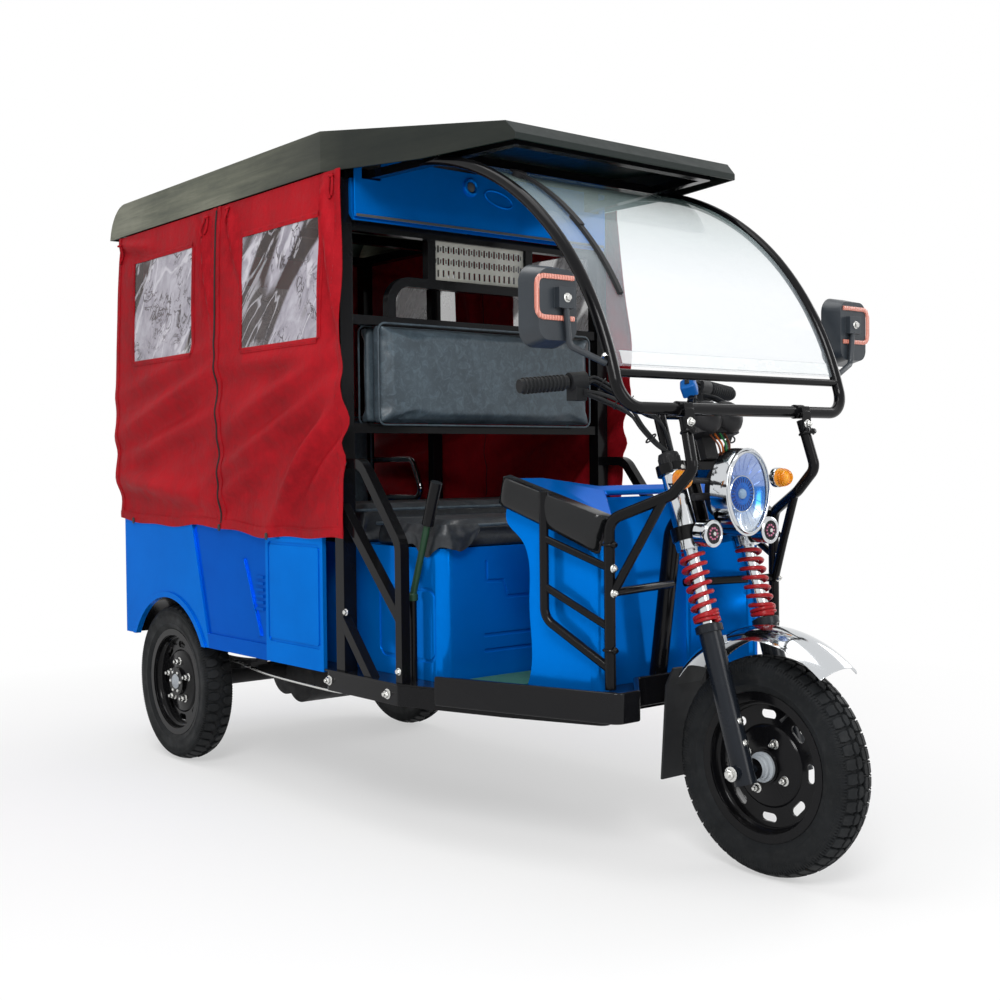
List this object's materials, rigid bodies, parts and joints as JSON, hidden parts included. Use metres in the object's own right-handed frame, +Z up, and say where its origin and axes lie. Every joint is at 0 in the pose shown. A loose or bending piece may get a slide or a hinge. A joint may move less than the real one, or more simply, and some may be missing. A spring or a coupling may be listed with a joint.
{
  "type": "electric auto rickshaw",
  "caption": "Three-wheeled electric passenger rickshaw with a canvas-curtained cabin, curved windscreen, handlebar-steered sprung front fork and free-turning wheels.",
  "frame": {"origin": "on the ground under the middle of the vehicle's length and width", "axes": "+X forward along the vehicle, +Y to its left, +Z up"},
  "size_m": [2.692, 1.16, 1.83],
  "materials": {
    "black_steel": "gloss black enamel",
    "blue_paint": "gloss blue enamel",
    "roof_plastic": "weathered olive grey moulding",
    "canvas": "deep red coated canvas",
    "film": "clear soft film",
    "vinyl": "dark grey vinyl cover",
    "glass": "clear screen glass",
    "mirror": "silvered mirror",
    "black_plastic": "satin black plastic",
    "chrome": "bright chrome plating",
    "spring_red": "red painted spring wire",
    "amber": "amber lens",
    "red_lens": "red lens",
    "lens": "clear bluish lens",
    "tyre": "black tyre rubber",
    "rubber": "black rubber",
    "iron": "dark castings",
    "zinc": "zinc plated steel"
  },
  "bodies": {
    "chassis": {"chassis_frame": "black_steel", "floor_pan": "black_steel", "wheel_housings": "black_steel", "quarter_panels": "blue_paint", "front_side_panels": "blue_paint", "doorway_infill": "blue_paint", "tail_panel": "blue_paint", "tail_lamps": "red_lens", "cabin_frame": "black_steel", "roof_shell": "roof_plastic", "rear_bench": "black_steel", "seat_box": "blue_paint", "battery_pack": "black_plastic", "front_cushions": "vinyl", "rear_cushions": "vinyl", "rear_armrests": "black_steel", "partition_frame": "black_steel", "partition_hoop": "black_steel", "partition_mesh": "black_steel", "partition_backrests": "vinyl", "overhead_panel": "blue_paint", "side_guards": "black_steel", "side_curtains": "canvas", "rear_curtain": "canvas", "curtain_windows": "film", "windscreen_frame": "black_steel", "windscreen_glass": "glass", "wiper": "black_plastic", "mirror_heads": "black_plastic", "mirror_glasses": "mirror", "front_bumper": "black_plastic", "steering_head": "black_steel", "front_guards": "black_steel", "cowl_shield": "blue_paint", "dash_top": "blue_paint", "dash_trim": "black_plastic", "hand_brake": "black_steel", "rear_axle": "iron", "drive_motor": "iron", "leaf_springs": "iron"},
    "steering": {"fork_crowns": "black_steel", "fork_tubes": "chrome", "fork_springs": "spring_red", "fork_sliders": "black_steel", "front_mudguard": "chrome", "mud_flap": "rubber", "handlebar": "chrome", "hand_controls": "rubber", "instrument_cluster": "black_plastic", "headlight_shell": "black_plastic", "headlight_bezel": "chrome", "headlight_lens": "lens", "indicators": "amber", "horns": "chrome"},
    "front_wheel": {"front_tyre": "tyre", "front_rim": "black_steel"},
    "rear_right_wheel": {"rear_right_tyre": "tyre", "rear_right_rim": "black_steel"},
    "rear_left_wheel": {"rear_left_tyre": "tyre", "rear_left_rim": "black_steel"}
  },
  "joints": [
    {"name": "steering", "type": "hinge", "parent": "chassis", "child": "steering", "pos_m": [0.86118, 0, 0.84143], "axis": [-0.2974, 0, 0.9548], "range_deg": [-35, 35]},
    {"name": "front_wheel_spin", "type": "hinge", "parent": "steering", "child": "front_wheel", "pos_m": [1.094, 0, 0.252], "axis": [0, 1, 0], "continuous": true},
    {"name": "rear_right_wheel_spin", "type": "hinge", "parent": "chassis", "child": "rear_right_wheel", "pos_m": [-0.962, -0.44, 0.252], "axis": [0, 1, 0], "continuous": true},
    {"name": "rear_left_wheel_spin", "type": "hinge", "parent": "chassis", "child": "rear_left_wheel", "pos_m": [-0.962, 0.44, 0.252], "axis": [0, 1, 0], "continuous": true}
  ]
}
